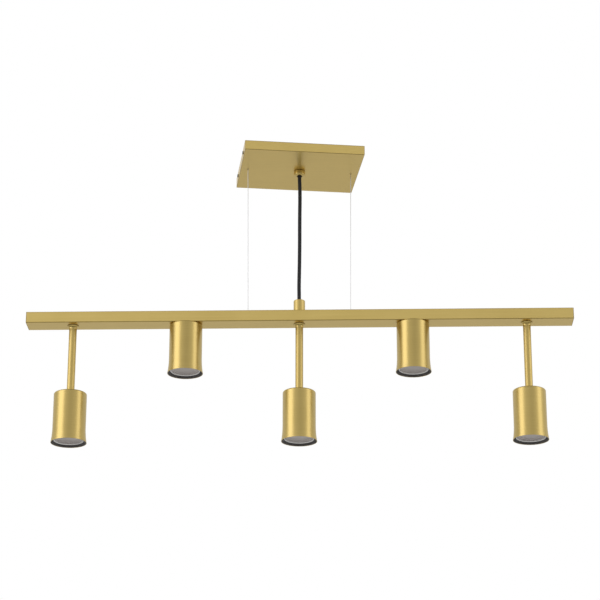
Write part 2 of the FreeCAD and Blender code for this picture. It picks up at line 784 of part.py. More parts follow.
def holder_straps(lamps):
    """U-shaped straps that hang each lampholder under the top of its cup, and their screws"""
    straps = []
    screws = []
    for x, top, hangs in lamps:
        body = new_body("holder_strap")
        section = new_sketch(body, "XZ_Plane")
        outer, inner = "strap_half_span", "strap_half_span - strap_thickness"
        foot = "strap_half_span - strap_foot"
        high, low = "-cup_wall", "-holder_top"
        draw_outline(section, [
            ("-(%s)" % foot, low), ("-(%s)" % outer, low), ("-(%s)" % outer, high), (outer, high),
            (outer, low), (foot, low), (foot, low + " + strap_thickness"),
            (inner, low + " + strap_thickness"), (inner, high + " - strap_thickness"),
            ("-(%s)" % inner, high + " - strap_thickness"), ("-(%s)" % inner, low + " + strap_thickness"),
            ("-(%s)" % foot, low + " + strap_thickness"),
        ])
        pad(body, section, "strap_width", middle=True)
        holes = new_sketch(body)
        draw_circle(holes, "0", "0", HOLE)
        for side in (-1, 1):
            draw_circle(holes, "%d * (%s)" % (side, SCREW_X), "0", "holder_screw_radius + fit_gap")
        pocket(body, holes, "holder_top + cut_margin")
        straps.append(place(body, x, z=top))
        for side in (-1, 1):
            piece = screw("holder_screw", "holder_screw_radius", "holder_screw_length - strap_thickness",
                          "holder_head_radius", "holder_head_height")
            screws.append(place(piece, "%s + %d * (%s)" % (x, side, SCREW_X),
                                z=top + " - holder_top + strap_thickness"))
    node(group(straps), "holder_straps")
    node(group(screws), "holder_screws")


# Lamps

def lamp(place_number, x, top):
    """Reflector lamp with two headed pins, and its front lens"""
    base = "-holder_top - holder_height - running_gap"
    face = "-cup_height + lamp_recess"
    shoulder = face + " + lamp_rim_height"
    seat = face + " + lens_recess + lens_thickness"
    body = turned("lamp_body_%d" % place_number, [
        ("0", base), ("lamp_base_radius", base), ("lamp_base_radius", base + " - lamp_base_height",
                                                  "-(reflector_bulge)"),
        ("lamp_radius", shoulder), ("lamp_radius", face), ("lens_radius + fit_gap", face),
        ("lens_radius + fit_gap", seat), ("0", seat),
    ])
    neck = "holder_face + 2 * running_gap"
    necks = new_sketch(body, lift=base)
    heads = new_sketch(body, lift="%s + %s" % (base, neck))
    for side in (-1, 1):
        draw_circle(necks, "%d * pin_spacing / 2" % side, "0", "pin_neck_radius")
        draw_circle(heads, "%d * pin_spacing / 2" % side, "0", "pin_head_radius")
    pad(body, necks, neck)
    pad(body, heads, "pin_head_height")
    node(place(body, x, z=top), "lamp_body_%d" % place_number)
    lens = turned("lamp_lens_%d" % place_number, [
        ("0", face + " + lens_recess"), ("0", seat), ("lens_radius", seat),
        ("lens_radius", face + " + lens_recess"),
    ])
    node(place(lens, x, z=top), "lamp_lens_%d" % place_number)


# Where the five lamps hang: (x, height of the cup's top, whether on a rod)
LAMPS = []
for step in (-2, -1, 0, 1, 2):
    on_rod = step % 2 == 0
    cup_top = BAR_UNDERSIDE + " - rod_length" if on_rod else BAR_UNDERSIDE
    LAMPS.append(("%d * (%s)" % (step, LAMP_PITCH), cup_top, on_rod))

ceiling_bracket()
canopy_cover()
canopy_side_screws()
canopy_cord_bush()
terminals()
for name, side in (("left", -1), ("right", 1)):
    wire_gripper(name, side)
wire_ends()
power_cord()
for name, side in (("left", -1), ("right", 1)):
    suspension_wire("suspension_wire_" + name, side)
    end_cap(name + "_end_cap", side)
bar_tube()
bar_cord_bush()
wire_anchors()
for name, (x, top, on_rod) in zip(("left", None, "centre", None, "right"), LAMPS):
    if on_rod:
        drop_rod(name + "_drop_rod", x)
        rod_collar(name + "_rod_collar", x)
threads_and_nuts(LAMPS)
for place_number, (x, top, on_rod) in enumerate(LAMPS, start=1):
    lamp_cup("lamp_cup_%d" % place_number, x, top)
    lamp_bezel("lamp_bezel_%d" % place_number, x, top)
    lampholder("lampholder_%d" % place_number, x, top)
    lamp(place_number, x, top)
holder_straps(LAMPS)

doc.recompute()
for item in doc.Objects:
    if "Invalid" in item.State or "Error" in item.State:
        raise ValueError("%s could not be built" % item.Name)
for piece in NODES:
    if piece.Shape.isNull() or not piece.Shape.isValid():
        raise ValueError("%s has no valid shape" % piece.Label)

os.makedirs("parts", exist_ok=True)
for piece in NODES:
    piece.Shape.exportStep("parts/%s.step" % piece.Label)
print("%d pieces written" % len(NODES))
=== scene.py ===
import bpy
import math
from mathutils import Euler, Matrix, Vector


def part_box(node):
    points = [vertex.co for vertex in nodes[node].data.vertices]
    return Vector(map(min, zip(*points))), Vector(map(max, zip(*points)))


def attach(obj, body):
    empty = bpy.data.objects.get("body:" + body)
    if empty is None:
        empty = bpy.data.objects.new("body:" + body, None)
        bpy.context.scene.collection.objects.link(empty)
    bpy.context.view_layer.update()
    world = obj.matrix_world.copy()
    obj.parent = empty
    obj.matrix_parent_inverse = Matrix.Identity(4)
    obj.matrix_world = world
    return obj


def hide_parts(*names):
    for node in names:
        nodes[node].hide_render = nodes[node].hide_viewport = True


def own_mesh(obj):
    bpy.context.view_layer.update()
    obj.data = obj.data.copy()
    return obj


# Linear island pendant in satin brass. Metres, X along the bar, Z up, ceiling at zero.

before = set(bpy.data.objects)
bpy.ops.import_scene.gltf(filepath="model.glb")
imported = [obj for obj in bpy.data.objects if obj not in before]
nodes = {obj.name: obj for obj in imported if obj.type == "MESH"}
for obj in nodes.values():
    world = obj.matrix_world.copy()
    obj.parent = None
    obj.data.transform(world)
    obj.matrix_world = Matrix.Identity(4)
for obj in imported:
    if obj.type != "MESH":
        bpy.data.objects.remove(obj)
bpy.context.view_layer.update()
lampNumbers = range(1, 6)
scene = bpy.context.scene


class Link:  # a node's output that can be added, multiplied and raised
    def __init__(self, graph, socket):
        self.graph = graph
        self.socket = socket

    def math(self, operation, first, second):
        return self.graph.add("ShaderNodeMath", {"operation": operation}, {0: first, 1: second})

    def __add__(self, other):
        return self.math("ADD", self, other)

    def __radd__(self, other):
        return self.math("ADD", other, self)

    def __sub__(self, other):
        return self.math("SUBTRACT", self, other)

    def __rsub__(self, other):
        return self.math("SUBTRACT", other, self)

    def __mul__(self, other):
        return self.math("MULTIPLY", self, other)

    def __rmul__(self, other):
        return self.math("MULTIPLY", other, self)

    def __truediv__(self, other):
        return self.math("DIVIDE", self, other)

    def __pow__(self, other):
        return self.math("POWER", self, other)


class Graph:  # a node tree that is filled one node at a time
    def __init__(self, tree):
        self.tree = tree

    def add(self, kind, settings=None, inputs=None, output=0):
        node = self.tree.nodes.new(kind)
        for name, value in (settings or {}).items():
            setattr(node, name, value)
        for name, value in (inputs or {}).items():
            if isinstance(value, Link):
                self.tree.links.new(value.socket, node.inputs[name])
            else:
                node.inputs[name].default_value = value
        return Link(self, node.outputs[output]) if node.outputs else node


# Camera

cameraView = {
    "place": (0.0905, -3.3362, -1.4938),
    "pitch": 20.467,  # degrees above the horizon
    "turn": 1.535,
    "roll": 0.067,
    "focalPixels": 2151.3,
    "imagePixels": 600,
    "sensor": 36,
    "clipEnd": 60,
}


def makeCamera(values):
    data = bpy.data.cameras.new("photoCamera")
    data.sensor_width = values["sensor"]
    data.lens = values["sensor"] * values["focalPixels"] / values["imagePixels"]
    data.clip_end = values["clipEnd"]
    camera = bpy.data.objects.new("photoCamera", data)
    heading = Euler((math.radians(90 + values["pitch"]), 0, math.radians(values["turn"]))).to_matrix()
    rolled = heading @ Matrix.Rotation(math.radians(values["roll"]), 3, "Z")
    camera.matrix_world = Matrix.Translation(values["place"]) @ rolled.to_4x4()
    scene.collection.objects.link(camera)
    scene.camera = camera


makeCamera(cameraView)
print("camera set")


# Sizes of the cord and the wires, and how a route becomes a mesh

cordLook = {
    "route": [
        (0, 0, -0.016), (0, 0, -0.030), (0.001, 0.0003, -0.058), (0.0004, 0.0005, -0.104),
        (0.0005, 0.0001, -0.150), (0.0001, -0.0003, -0.190), (-0.0006, 0, -0.222),
        (-0.0003, 0, -0.243), (-0.0003, 0, -0.2575),
    ],
    "radius": 0.00305,
    "sides": 40,
    "step": 0.003,
    "shrink": 0.503,  # share of its height that is left with the bar fully up
}
wireLook = {
    "radius": 0.0005,
    "sides": 24,
    "canopyTurn": 8.1,
    "exitReach": 0.0875,
    "anchorReach": 0.08475,
    "top": -0.016,
    "bottom": -0.2732,
    "strands": 6,
    "strandDepth": 0.11,
    "lay": 0.009,  # length of one full twist
    "step": 0.0006,
    "shrink": 0.5334,
}
curveSteps = 24  # points between two control points of a route


def routeCurve(name, route):
    data = bpy.data.curves.new(name, "CURVE")
    data.dimensions = "3D"
    data.resolution_u = curveSteps
    spline = data.splines.new("NURBS")
    spline.points.add(len(route) - 1)
    for point, place in zip(spline.points, route):
        point.co = (*place, 1)
    spline.order_u = 3
    spline.use_endpoint_u = True
    curve = bpy.data.objects.new(name, data)
    scene.collection.objects.link(curve)
    return curve


def meshOf(item, name):
    graph = bpy.context.evaluated_depsgraph_get()
    mesh = bpy.data.meshes.new_from_object(item.evaluated_get(graph))
    mesh.name = name
    return mesh


def pathOf(curve):
    mesh = meshOf(curve, curve.name + "Line")
    points = [vertex.co.copy() for vertex in mesh.vertices]
    bpy.data.meshes.remove(mesh)
    return points


def newTree(name, sockets):
    tree = bpy.data.node_groups.new(name, "GeometryNodeTree")
    tree.interface.new_socket("Geometry", in_out="INPUT", socket_type="NodeSocketGeometry")
    for label, kind in sockets:
        tree.interface.new_socket(label, in_out="INPUT", socket_type=kind)
    tree.interface.new_socket("Geometry", in_out="OUTPUT", socket_type="NodeSocketGeometry")
    return tree


def growPiece(source, name, tree, values):
    # runs a tree on a source object and keeps the plain mesh that comes out
    modifier = source.modifiers.new(name, "NODES")
    modifier.node_group = tree
    for item in tree.interface.items_tree:
        if item.in_out == "INPUT" and item.name in values:
            modifier[item.identifier] = values[item.name]
    source.update_tag()
    bpy.context.view_layer.update()
    mesh = meshOf(source, name)
    data = source.data
    bpy.data.objects.remove(source)
    if data.users == 0 and isinstance(data, bpy.types.Curve):
        bpy.data.curves.remove(data)
    piece = bpy.data.objects.new(name, mesh)
    scene.collection.objects.link(piece)
    return piece


def tubeTree():
    # a round or stranded tube along a curve
    tree = newTree("tubeAlongRoute", [
        ("Radius", "NodeSocketFloat"), ("Sides", "NodeSocketInt"), ("Step", "NodeSocketFloat"),
        ("Strands", "NodeSocketInt"), ("Strand Depth", "NodeSocketFloat"), ("Lay", "NodeSocketFloat"),
        ("Material", "NodeSocketMaterial"),
    ])
    graph = Graph(tree)
    given = tree.nodes.new("NodeGroupInput")
    read = {socket.name: Link(graph, socket) for socket in given.outputs}
    line = graph.add("GeometryNodeResampleCurve", {"mode": "LENGTH"},
                     {"Curve": read["Geometry"], "Length": read["Step"]})
    along = graph.add("GeometryNodeSplineParameter", output="Length")
    twisted = graph.add("GeometryNodeSetCurveTilt", {},
                        {"Curve": line, "Tilt": along / read["Lay"] * math.tau})
    ring = graph.add("GeometryNodeCurvePrimitiveCircle", {},
                     {"Resolution": read["Sides"], "Radius": read["Radius"]})
    around = graph.add("GeometryNodeSplineParameter", output="Factor")
    wave = graph.add("ShaderNodeMath", {"operation": "COSINE"}, {0: around * read["Strands"] * math.tau})
    shrink = 1 - read["Strand Depth"] * (0.5 - wave * 0.5) ** 2
    place = graph.add("GeometryNodeInputPosition")
    shaped = graph.add("ShaderNodeVectorMath", {"operation": "SCALE"}, {"Vector": place, "Scale": shrink})
    lobed = graph.add("GeometryNodeSetPosition", {}, {"Geometry": ring, "Position": shaped})
    tube = graph.add("GeometryNodeCurveToMesh", {},
                     {"Curve": twisted, "Profile Curve": lobed, "Fill Caps": True})
    smooth = graph.add("GeometryNodeSetShadeSmooth", {}, {"Geometry": tube})
    real = graph.add("GeometryNodeRealizeInstances", {}, {"Geometry": smooth})
    dressed = graph.add("GeometryNodeSetMaterial", {}, {"Geometry": real, "Material": read["Material"]})
    graph.add("NodeGroupOutput", {}, {"Geometry": dressed})
    return tree


# Finishes

streakNoise = {"detail": 3, "roughness": 0.6}


def newFinish(name):
    material = bpy.data.materials.new(name)
    material.use_nodes = True
    material.node_tree.nodes.clear()
    graph = Graph(material.node_tree)
    place = graph.add("ShaderNodeTexCoord", output="Object")
    return material, graph, place


def noise(graph, place, scale, detail=2, roughness=0.5):
    return graph.add("ShaderNodeTexNoise", {}, {
        "Vector": place, "Scale": scale, "Detail": detail, "Roughness": roughness})


def stretched(graph, place, scale, turn=0):
    return graph.add("ShaderNodeMapping", {}, {
        "Vector": place, "Rotation": (0, 0, math.radians(-turn)), "Scale": scale})


def mixed(graph, share, first, second):
    return graph.add("ShaderNodeMix", {"data_type": "RGBA"}, {0: share, 6: first, 7: second}, output=2)


def bumped(graph, height, strength, distance):
    return graph.add("ShaderNodeBump", {}, {"Height": height, "Strength": strength, "Distance": distance})


def partOf(graph, vector, axis):
    return graph.add("ShaderNodeSeparateXYZ", {}, {0: vector}, output=axis)


def eased(graph, value, span, start=0.0, end=1.0):
    # goes softly from start to end while the value crosses the span
    return graph.add("ShaderNodeMapRange", {"interpolation_type": "SMOOTHSTEP"}, {
        "Value": value, "From Min": span[0], "From Max": span[1], "To Min": start, "To Max": end})


def larger(graph, first, second):
    return graph.add("ShaderNodeMath", {"operation": "MAXIMUM"}, {0: first, 1: second})


def streaksAlong(graph, place, grain, turn=0):
    # grain holds the streaks per metre along X, Y and Z
    return noise(graph, stretched(graph, place, grain, turn), 1, **streakNoise)


def finished(graph, values):
    shader = graph.add("ShaderNodeBsdfPrincipled", {}, values)
    graph.add("ShaderNodeOutputMaterial", {}, {"Surface": shader})


brassLook = {
    "deep": (0.70, 0.51, 0.140),
    "pale": (0.86, 0.65, 0.215),
    "streakShare": 0.7,  # how far streaks and clouds move the tone between deep and pale
    "cloudShare": 0.5,
    "cloudScale": 17,
    "roughness": 0.35,
    "roughClouds": 0.09,
    "roughStreaks": 0.08,
    "lacquer": 0.65,
    "lacquerRoughness": 0.2,
    "grainStrength": 0.12,
    "grainDepth": 0.00004,
    "grazing": (1, 0.93, 0.72),  # tint of what the bare metal mirrors at a flat angle
    "edge": (0.20, 0.12, 0.02),  # painted dark reflection laid along the rounded edges, and painted shadow below the seats
    "edgeShadeShare": 0.8,
    "edgeShadeSpan": (0.75, 0.35),  # where that painted line starts and is full, in edge radii from the outer faces
    "seatShadeReach": 0.0011,  # how far the painted shadow reaches down from a seat
}
# boxes along whose rounded edges the painted dark reflection lies
barEdges = {"centre": (0, 0, -0.2815), "half": (0.45, 0.019, 0.0095), "radius": 0.0014}
canopyEdges = {"centre": (0, 0, -0.008), "half": (0.1, 0.081, 0.008), "radius": 0.0012}
seats = {"bar": -0.291, "canopy": -0.016}  # heights of the undersides, where the painted shadow below a seat starts


def nearEdges(graph, place, box, turn, span):
    # 1 on the long rounded edges of a box, 0 on its faces
    upright = stretched(graph, place, (1, 1, 1), turn)
    close = []
    for axis in range(3):
        offset = partOf(graph, upright, axis) - box["centre"][axis]
        reach = graph.add("ShaderNodeMath", {"operation": "ABSOLUTE"}, {0: offset})
        close.append(eased(graph, reach, [box["half"][axis] - share * box["radius"] for share in span]))
    alongX, alongY, alongZ = close[1] * close[2], close[0] * close[2], close[0] * close[1]
    return larger(graph, larger(graph, alongX, alongY), alongZ)


def satinBrass(name, grain, values, turn=0, paintedShade=1, rougher=0.0, box=None, seatShade=None):
    # box paints a dark reflection along its rounded edges, and a seat height paints a shadow just below
    # that seat
    material, graph, place = newFinish(name)
    streaks = streaksAlong(graph, place, grain, turn)
    clouds = noise(graph, place, values["cloudScale"], 2)
    tone = 0.5 + (streaks - 0.5) * values["streakShare"] + (clouds - 0.5) * values["cloudShare"]
    # the shade factor scales the whole brass colour down: painted shade
    deep, pale = [tuple(part * paintedShade for part in values[end]) + (1,) for end in ("deep", "pale")]
    dark = values["edge"] + (1,)
    colour = mixed(graph, tone, deep, pale)
    # painted dark reflection along the rounded edges of the box
    if box:
        edges = nearEdges(graph, place, box, turn, values["edgeShadeSpan"])
        colour = mixed(graph, edges * values["edgeShadeShare"], colour, dark)
    # painted shadow along the top of the piece, where it meets the underside above
    if seatShade:
        reach = (seatShade - values["seatShadeReach"], seatShade - values["seatShadeReach"] / 2)
        colour = mixed(graph, eased(graph, partOf(graph, place, 2), reach), colour, dark)
    mottled = (clouds - 0.5) * values["roughClouds"] + (streaks - 0.5) * values["roughStreaks"]
    finished(graph, {
        "Base Color": colour,
        "Specular Tint": values["grazing"] + (1,),
        "Coat Weight": values["lacquer"],
        "Coat Roughness": values["lacquerRoughness"],
        "Metallic": 1.0,
        "Roughness": values["roughness"] + rougher + mottled,
        "Normal": bumped(graph, streaks, values["grainStrength"], values["grainDepth"]),
    })
    return material


plainLook = {
    "dark": 0.72,  # brightness of the darkest stains, as a share of the colour
    "tone": 0.35,
    "streakShare": 0.4,
    "stainShare": 0.25,
    "stainScale": 60,
    "roughStains": 0.18,
    "roughStreaks": 0.1,
    "grainStrength": 0.3,
    "grainDepth": 0.00005,
}


def plainMetal(name, colour, roughness, grain, values=plainLook):
    material, graph, place = newFinish(name)
    streaks = streaksAlong(graph, place, grain)
    stains = noise(graph, place, values["stainScale"], 3)
    dark = tuple(part * values["dark"] for part in colour[:3]) + (1,)
    tone = values["tone"] + streaks * values["streakShare"] + stains * values["stainShare"]
    mottled = (stains - 0.5) * values["roughStains"] + (streaks - 0.5) * values["roughStreaks"]
    finished(graph, {
        "Base Color": mixed(graph, tone, dark, colour),
        "Metallic": 1.0,
        "Roughness": roughness + mottled,
        "Normal": bumped(graph, streaks, values["grainStrength"], values["grainDepth"]),
    })
    return material


plasticLook = {
    "dustScale": 45,
    "dustStart": 0.35,
    "dustShare": 0.6,
    "paler": (1.25, 0.01),  # gain and lift of the dusty tone
    "roughDust": 0.16,
    "pebbleStrength": 0.35,
    "pebbleDepth": 0.00003,
}


def mouldedPlastic(name, colour, roughness, pebbles=1400, gloss=0.5, values=plasticLook):
    # pebbles is how many marks of the mould's texture lie on a metre
    material, graph, place = newFinish(name)
    texture = noise(graph, place, pebbles, 2)
    dust = noise(graph, place, values["dustScale"], 3)
    gain, lift = values["paler"]
    dusty = tuple(min(1, part * gain + lift) for part in colour[:3]) + (1,)
    finished(graph, {
        "Base Color": mixed(graph, (dust - values["dustStart"]) * values["dustShare"], colour, dusty),
        "Roughness": roughness + (dust - 0.5) * values["roughDust"],
        "Specular IOR Level": gloss,
        "Normal": bumped(graph, texture, values["pebbleStrength"], values["pebbleDepth"]),
    })
    return material


frostLook = {
    "grainScale": 2400,
    "hazeScale": 40,
    "paler": 1.18,
    "roughness": 0.34,
    "roughHaze": 0.1,
    "gloss": 0.3,
    "glossRoughness": 0.15,
    "grainStrength": 0.4,
    "grainDepth": 0.00004,
}


def frostedFront(name, colour, values=frostLook):
    material, graph, place = newFinish(name)
    frost = noise(graph, place, values["grainScale"], 1)
    haze = noise(graph, place, values["hazeScale"], 2)
    pale = tuple(min(1, part * values["paler"]) for part in colour[:3]) + (1,)
    finished(graph, {
        "Base Color": mixed(graph, haze, colour, pale),
        "Roughness": values["roughness"] + haze * values["roughHaze"],
        "Coat Weight": values["gloss"],
        "Coat Roughness": values["glossRoughness"],
        "Normal": bumped(graph, frost, values["grainStrength"], values["grainDepth"]),
    })
    return material


finishes = {
    "barBrass": satinBrass("barBrass", (9, 700, 700), brassLook, rougher=-0.03, box=barEdges),
    "canopyBrass": satinBrass("canopyBrass", (9, 620, 620), brassLook, wireLook["canopyTurn"],
                              rougher=0.03, box=canopyEdges),
    # these copies of the one brass differ in a shade factor below 1: painted shade for the darker light on
    # the rods, bar bush, collars, canopy bush and cups
    "turnedBrass": satinBrass("turnedBrass", (26, 26, 900), brassLook, paintedShade=0.78, rougher=0.12),
    "collarBrass": satinBrass("collarBrass", (26, 26, 900), brassLook, paintedShade=0.92, seatShade=seats["bar"]),
    "bushBrass": satinBrass("bushBrass", (26, 26, 900), brassLook, paintedShade=0.93, seatShade=seats["canopy"]),
    "cupBrass": satinBrass("cupBrass", (20, 20, 700), brassLook, paintedShade=0.72),
    "zincSteel": plainMetal("zincSteel", (0.62, 0.63, 0.64, 1), 0.36, (40, 300, 40)),
    "platedSteel": plainMetal("platedSteel", (0.66, 0.65, 0.62, 1), 0.3, (60, 60, 700)),
    "wireSteel": plainMetal("wireSteel", (0.80, 0.80, 0.79, 1), 0.45, (200, 200, 30)),
    "nickelBrass": plainMetal("nickelBrass", (0.76, 0.74, 0.68, 1), 0.22, (50, 50, 900)),
    "blackScrew": plainMetal("blackScrew", (0.06, 0.058, 0.055, 1), 0.42, (300, 300, 300)),
    "cordSheath": mouldedPlastic("cordSheath", (0.031, 0.031, 0.032, 1), 0.6, 900, 0.15),
    "blackTrim": mouldedPlastic("blackTrim", (0.105, 0.096, 0.092, 1), 0.42),
    "whiteNylon": mouldedPlastic("whiteNylon", (0.80, 0.79, 0.74, 1), 0.42),
    "steatite": mouldedPlastic("steatite", (0.84, 0.81, 0.74, 1), 0.55, 1800),
    "lampShell": mouldedPlastic("lampShell", (0.88, 0.85, 0.83, 1), 0.3),
    "lampLens": frostedFront("lampLens", (0.50, 0.455, 0.43, 1)),
    "lampRim": plainMetal("lampRim", (1.0, 0.99, 0.97, 1), 0.34, (60, 60, 700)),
}
print("finishes made")


# Cord and wires

tube = tubeTree()


def makeCord(values):
    curve = routeCurve("cordRoute", values["route"])
    path = pathOf(curve)
    cord = growPiece(curve, "powerCord", tube, {
        "Radius": values["radius"], "Sides": values["sides"], "Step": values["step"], "Strands": 1,
        "Strand Depth": 0.0, "Lay": 1.0, "Material": finishes["cordSheath"]})
    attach(cord, "suspension")
    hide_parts("power_cord")
    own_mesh(cord)


def makeWire(side, values):
    label = "Left" if side < 0 else "Right"
    turn = math.radians(values["canopyTurn"])
    reach = side * values["exitReach"]
    top = (reach * math.cos(turn), reach * math.sin(turn), values["top"])
    bottom = (side * values["anchorReach"], 0, values["bottom"])
    curve = routeCurve("wireRoute" + label, [top, bottom])
    path = pathOf(curve)
    wire = growPiece(curve, "suspensionWire" + label, tube, {
        "Radius": values["radius"], "Sides": values["sides"], "Step": values["step"],
        "Strands": values["strands"], "Strand Depth": values["strandDepth"], "Lay": values["lay"],
        "Material": finishes["wireSteel"]})
    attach(wire, "suspension")
    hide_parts("suspension_wire_" + label.lower())
    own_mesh(wire)


makeCord(cordLook)
for side in (-1, 1):
    makeWire(side, wireLook)
print("cord and wires made")


# Turned pieces: an outline of (radius, height) swept round an upright axis

latheLook = {
    "ringRadius": 0.01,
    "segments": 96,
    "fineSegments": 128,
    "crispAngle": 32,  # degrees past which an edge is shaded sharp
    "arcSteps": 7,
    "weld": 0.000001,
}


def turnedTree():
    tree = newTree("turnedPiece", [
        ("Ring Radius", "NodeSocketFloat"), ("Segments", "NodeSocketInt"), ("Place", "NodeSocketVector"),
        ("Crisp Angle", "NodeSocketFloat"), ("Material", "NodeSocketMaterial"),
    ])
    graph = Graph(tree)
    given = tree.nodes.new("NodeGroupInput")
    read = {socket.name: Link(graph, socket) for socket in given.outputs}
    ring = graph.add("GeometryNodeCurvePrimitiveCircle", {},
                     {"Resolution": read["Segments"], "Radius": read["Ring Radius"]})
    swept = graph.add("GeometryNodeCurveToMesh", {}, {"Curve": ring, "Profile Curve": read["Geometry"]})
    welded = graph.add("GeometryNodeMergeByDistance", {},
                       {"Geometry": swept, "Distance": latheLook["weld"]})
    smooth = graph.add("GeometryNodeSetShadeSmooth", {}, {"Geometry": welded})
    edge = graph.add("GeometryNodeInputMeshEdgeAngle")
    crisp = graph.add("FunctionNodeCompare", {"data_type": "FLOAT", "operation": "GREATER_THAN"},
                      {0: edge, 1: read["Crisp Angle"]})
    shaded = graph.add("GeometryNodeSetShadeSmooth", {"domain": "EDGE"},
                       {"Geometry": smooth, "Selection": crisp, "Shade Smooth": False})
    moved = graph.add("GeometryNodeTransform", {}, {"Geometry": shaded, "Translation": read["Place"]})
    real = graph.add("GeometryNodeRealizeInstances", {}, {"Geometry": moved})
    dressed = graph.add("GeometryNodeSetMaterial", {}, {"Geometry": real, "Material": read["Material"]})
    graph.add("NodeGroupOutput", {}, {"Geometry": dressed})
    return tree


lathe = turnedTree()


def bulge(start, end, radius, steps):
    # points on the short arc after start, its centre to the right of the way for a radius above 0
    first, last = Vector(start), Vector(end)
    chord = last - first
    rise = math.sqrt(max(radius ** 2 - (chord.length / 2) ** 2, 0))
    toRight = Vector((chord.y, -chord.x)).normalized()
    centre = (first + last) / 2 + toRight * math.copysign(rise, radius)
    sweep = (first - centre).angle_signed(last - centre)
    spoke = first - centre
    return [centre + Matrix.Rotation(-sweep * step / steps, 2) @ spoke for step in range(1, steps)]


def outlinePoints(corners):
    points = []
    for index, corner in enumerate(corners):
        points.append(Vector(corner[:2]))
        if len(corner) == 3:
            following = corners[(index + 1) % len(corners)]
            points += bulge(corner[:2], following[:2], corner[2], latheLook["arcSteps"])
    return points


def turned(name, corners, place, finish, segments=None):
    data = bpy.data.curves.new(name + "Outline", "CURVE")
    data.dimensions = "2D"
    points = outlinePoints(corners)
    area = sum(a.x * b.y - b.x * a.y for a, b in zip(points, points[1:] + points[:1]))
    if area < 0:
        points.reverse()
    spline = data.splines.new("POLY")
    spline.points.add(len(points) - 1)
    for control, point in zip(spline.points, points):
        control.co = (point.x - latheLook["ringRadius"], -point.y, 0, 1)
    spline.use_cyclic_u = True
    source = bpy.data.objects.new(name + "Outline", data)
    scene.collection.objects.link(source)
    return growPiece(source, name, lathe, {
        "Ring Radius": latheLook["ringRadius"], "Segments": segments or latheLook["segments"],
        "Place": place, "Crisp Angle": math.radians(latheLook["crispAngle"]), "Material": finishes[finish]})


def seated(piece, body, slot, *replaced):
    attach(piece, body)
    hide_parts(*replaced)


def axisOf(node):
    low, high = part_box(node)
    return (low.x + high.x) / 2, (low.y + high.y) / 2, low.z, high.z


cupLook = {
    "radius": 0.027,
    "topRound": 0.003,
    "wall": 0.0015,
    "mouthRadius": 0.0292,
    "lip": 0.0006,
    "flareHeight": 0.026,
    "boreRadius": 0.0051,
}


def flareRadius(height, spread):
    return (height ** 2 + spread ** 2) / (2 * spread)


def makeCup(number, values):
    x, y, low, high = axisOf("lamp_cup_%d" % number)
    height = high - low
    start = -height + values["flareHeight"]
    inner = values["radius"] - values["wall"]
    innerMouth = values["mouthRadius"] - values["lip"]
    innerRound = values["topRound"] - values["wall"]
    outFlare = flareRadius(values["flareHeight"], values["mouthRadius"] - values["radius"])
    inFlare = flareRadius(values["flareHeight"], innerMouth - inner)
    corners = [
        (values["boreRadius"], 0), (values["radius"] - values["topRound"], 0, values["topRound"]),
        (values["radius"], -values["topRound"]), (values["radius"], start, -outFlare),
        (values["mouthRadius"], -height), (innerMouth, -height, inFlare),
        (inner, start), (inner, -values["topRound"], -innerRound),
        (values["radius"] - values["topRound"], -values["wall"]), (values["boreRadius"], -values["wall"]),
    ]
    cup = turned("lampCup%d" % number, corners, (x, y, high), "cupBrass", latheLook["fineSegments"])
    seated(cup, "bar", "satin_brass", "lamp_cup_%d" % number)


for number in lampNumbers:
    makeCup(number, cupLook)
print("cups made")


rodLook = {"radius": 0.00635, "bore": 0.004, "segments": 72}
collarLook = {
    "radius": 0.0096,
    "edge": 0.0006,
    "hollow": 0.008,  # radius of the bell's hollow side
    "neck": 0.00675,
    "bore": 0.00645,
    "segments": 72,
}


def makeRod(side, values, collar):
    x, y, low, high = axisOf(side + "_drop_rod")
    rod = turned(side + "DropRod", [
        (values["bore"], 0), (values["radius"], 0),
        (values["radius"], low - high), (values["bore"], low - high),
    ], (x, y, high), "turnedBrass", values["segments"])
    seated(rod, "bar", "satin_brass", side + "_drop_rod")
    x, y, low, high = axisOf(side + "_rod_collar")
    ring = turned(side + "RodCollar", [
        (collar["bore"], 0), (collar["radius"], 0), (collar["radius"], -collar["edge"], -collar["hollow"]),
        (collar["neck"], low - high), (collar["bore"], low - high),
    ], (x, y, high), "collarBrass", collar["segments"])
    seated(ring, "bar", "satin_brass", side + "_rod_collar")


canopyBushLook = {
    "radius": 0.0095,
    "round": 0.003,
    "mouth": 0.0048,
    "bore": 0.00335,
    "thread": 0.005,
    "rise": 0.0057,  # length of the thread above the flange
}


def makeCanopyBush(values):
    x, y, low, high = axisOf("canopy_cord_bush")
    base = high - values["rise"]
    drop = low - base
    bush = turned("canopyCordBush", [
        (values["bore"], values["rise"]), (values["thread"], values["rise"]), (values["thread"], 0),
        (values["radius"], 0), (values["radius"], drop + values["round"], values["round"]),
        (values["radius"] - values["round"], drop), (values["mouth"], drop), (values["bore"], 0),
    ], (x, y, base), "bushBrass")
    seated(bush, "canopy", "satin_brass", "canopy_cord_bush")


barBushLook = {
    "radius": 0.0095,
    "round": 0.002,
    "bore": 0.0036,
    "throat": 0.0026,
    "thread": 0.005,
    "drop": 0.0057,  # length of the thread below the flange
    "seat": 0.008,  # depth at which the cord ends
}


def makeBarBush(values):
    x, y, low, high = axisOf("bar_cord_bush")
    base = low + values["drop"]
    rise = high - base
    bush = turned("barCordBush", [
        (values["bore"], rise), (values["radius"] - values["round"], rise, values["round"]),
        (values["radius"], rise - values["round"]), (values["radius"], 0), (values["thread"], 0),
        (values["thread"], -values["drop"]), (values["throat"], -values["drop"]),
        (values["throat"], rise - values["seat"]), (values["bore"], rise - values["seat"]),
    ], (x, y, base), "turnedBrass")
    seated(bush, "bar", "satin_brass", "bar_cord_bush")


